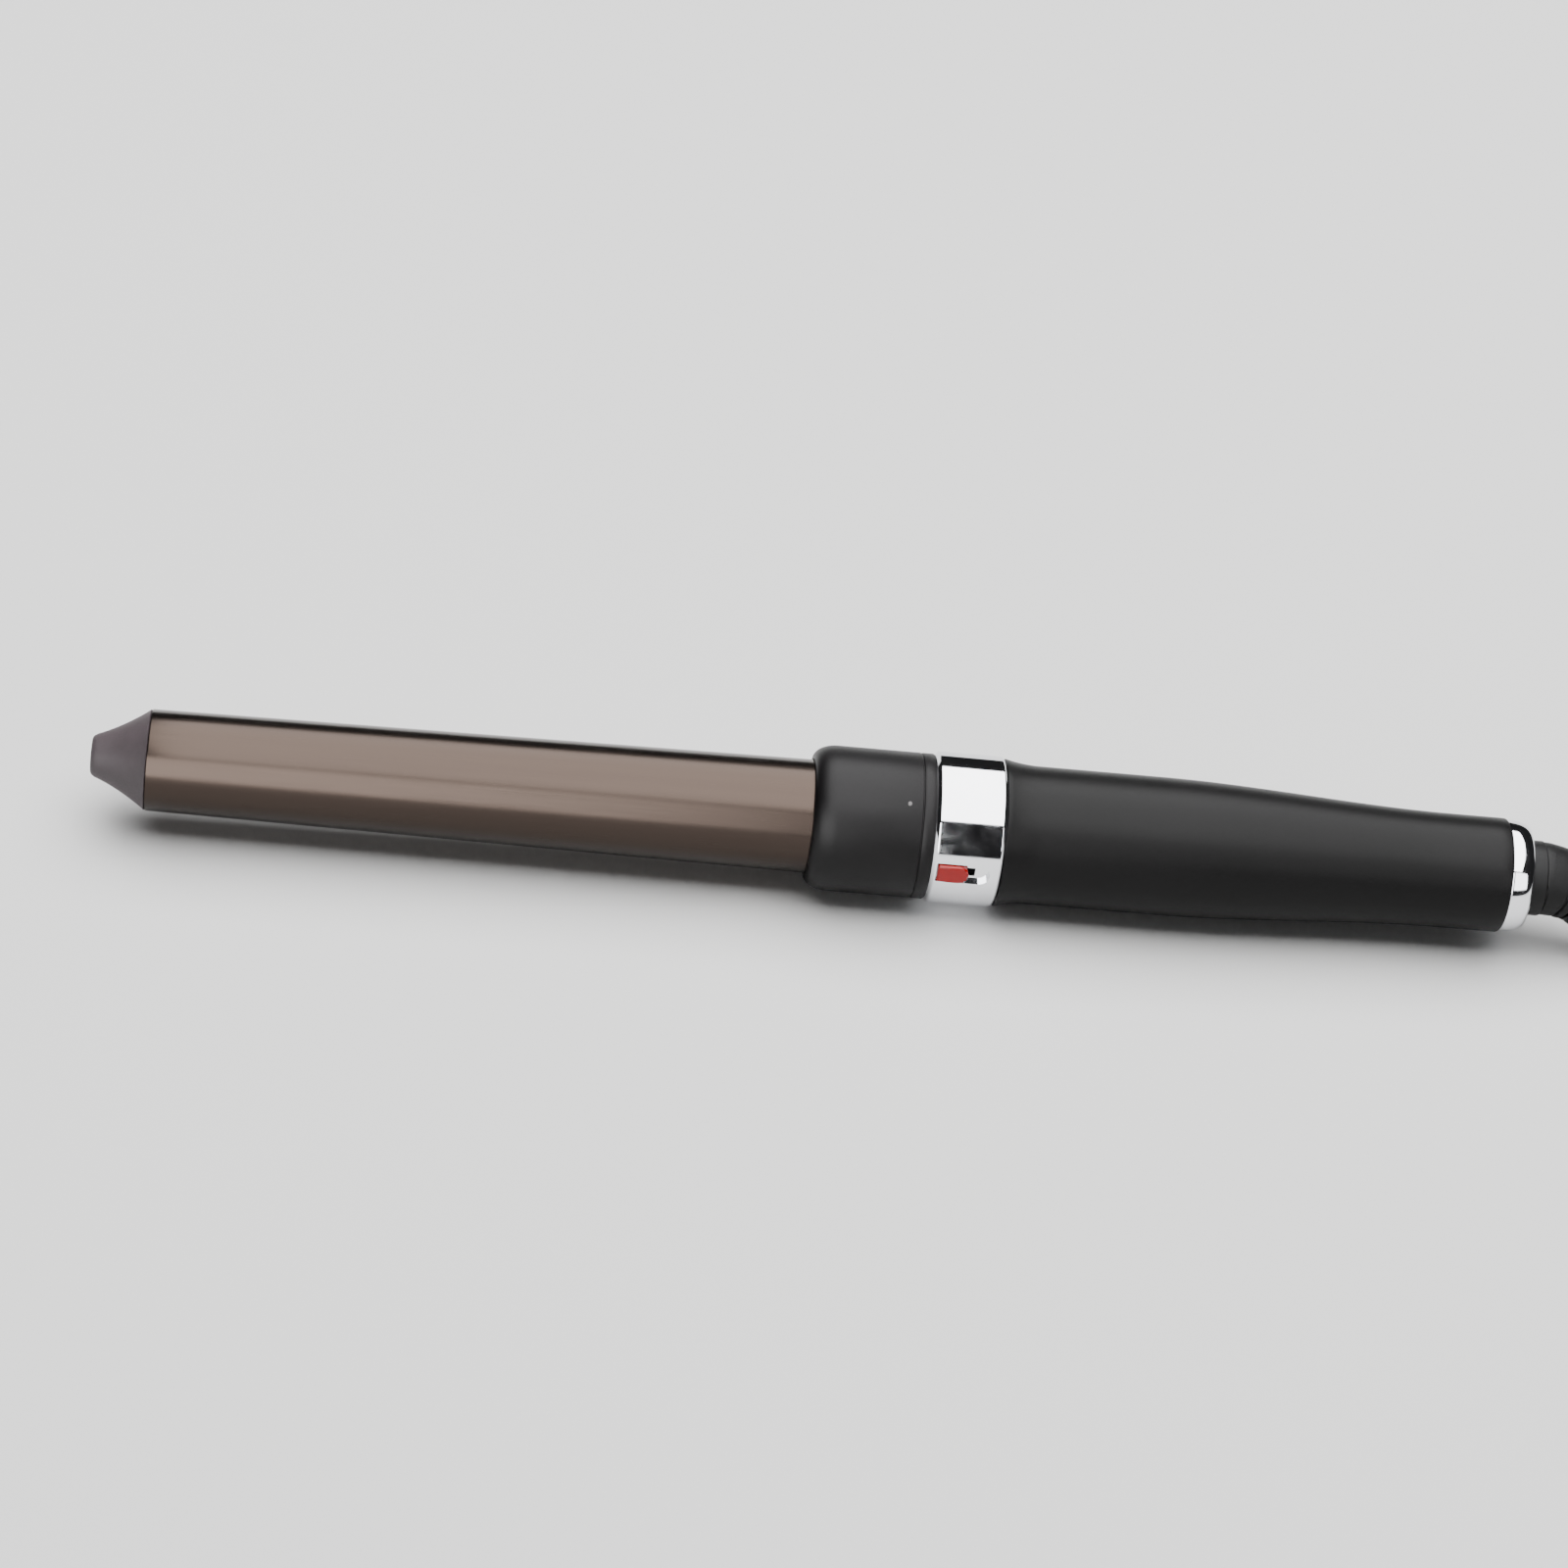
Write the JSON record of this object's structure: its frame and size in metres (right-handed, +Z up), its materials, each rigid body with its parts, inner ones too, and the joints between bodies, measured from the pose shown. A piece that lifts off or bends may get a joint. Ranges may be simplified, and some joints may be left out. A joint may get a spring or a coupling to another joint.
{
  "type": "curling wand",
  "caption": "Clipless curling wand with a tapered metal barrel, a plated ring with a slide switch, a soft-touch handle and a swivelling mains cord.",
  "frame": {"origin": "on the surface that the wand lies on, under the middle of the wand from its tip to the swivel hub", "axes": "+X along the wand from the cool tip toward the cord, +Z up; the switch faces -Y"},
  "size_m": [0.5629, 0.0604, 0.0352],
  "materials": {
    "tip_plastic": "matte heat-resistant moulding",
    "insulating_mica": "pressed mica sheet",
    "barrel_coating": "satin bronze titanium-tone coating, drawn along the barrel",
    "bare_aluminium": "as extruded",
    "heater_ceramic": "fired ceramic plate",
    "spring_steel": "rolled strip",
    "sensor_glass": "glass bead in a polyimide sleeve",
    "fuse_body": "lacquered metal can",
    "wire_insulation": "silicone insulation",
    "collar_plastic": "fine matte heat-resistant moulding",
    "inner_plastic": "plain moulding",
    "screw_steel": "zinc plated",
    "light_window": "tinted clear moulding",
    "ring_chrome": "polished chrome plating",
    "slider_red": "glossy red moulding",
    "switch_plastic": "plain moulding",
    "board_laminate": "solder-masked glass laminate",
    "capacitor_case": "cast box",
    "component_black": "moulded epoxy",
    "resistor_coat": "lacquered ceramic",
    "handle_soft_touch": "soft-touch matte coating",
    "contact_brass": "bright",
    "hub_plastic": "satin moulding",
    "boot_rubber": "matte moulded PVC",
    "cord_rubber": "smooth matte PVC jacket",
    "tie_rubber": "moulded strap",
    "plug_plastic": "matte moulded PVC",
    "pin_metal": "nickel plated"
  },
  "bodies": {
    "cord_set": {"swivel_hub": "hub_plastic", "slip_rings": "contact_brass", "swivel_circlip": "spring_steel", "boot": "boot_rubber", "cord_tube": "cord_rubber", "cord_hank": "cord_rubber", "cord_tail": "cord_rubber", "cord_tie": "tie_rubber", "plug_body": "plug_plastic", "plug_pins": "pin_metal"},
    "wand": {"tip_cap": "tip_plastic", "tip_disc": "insulating_mica", "barrel_tube": "barrel_coating", "spreader_upper": "bare_aluminium", "spreader_lower": "bare_aluminium", "heater_element": "heater_ceramic", "spreader_springs": "spring_steel", "thermistor": "sensor_glass", "thermal_fuse": "fuse_body", "heater_leads": "wire_insulation", "sensor_leads": "wire_insulation", "barrel_bush": "inner_plastic", "barrel_screws": "screw_steel", "collar": "collar_plastic", "pilot_light": "light_window", "switch_ring": "ring_chrome", "switch_body": "switch_plastic", "switch_leads": "wire_insulation", "chassis_upper": "inner_plastic", "chassis_lower": "inner_plastic", "chassis_screws": "screw_steel", "circuit_board": "board_laminate", "board_capacitor": "capacitor_case", "board_triac": "component_black", "board_chip": "component_black", "board_resistor": "resistor_coat", "supply_leads": "wire_insulation", "handle_sleeve": "handle_soft_touch", "end_ring": "ring_chrome", "swivel_housing": "inner_plastic", "contact_strips": "contact_brass"},
    "slider": {"switch_slider": "slider_red", "switch_wiper": "switch_plastic"}
  },
  "joints": [
    {"name": "cord_swivel", "type": "hinge", "parent": "cord_set", "child": "wand", "pos_m": [0.165, 0, 0.0176], "axis": [1, 0, 0], "continuous": true},
    {"name": "power_slide", "type": "slide", "parent": "wand", "child": "slider", "axis": [1, 0, 0], "range_m": [0, 0.0046]}
  ]
}
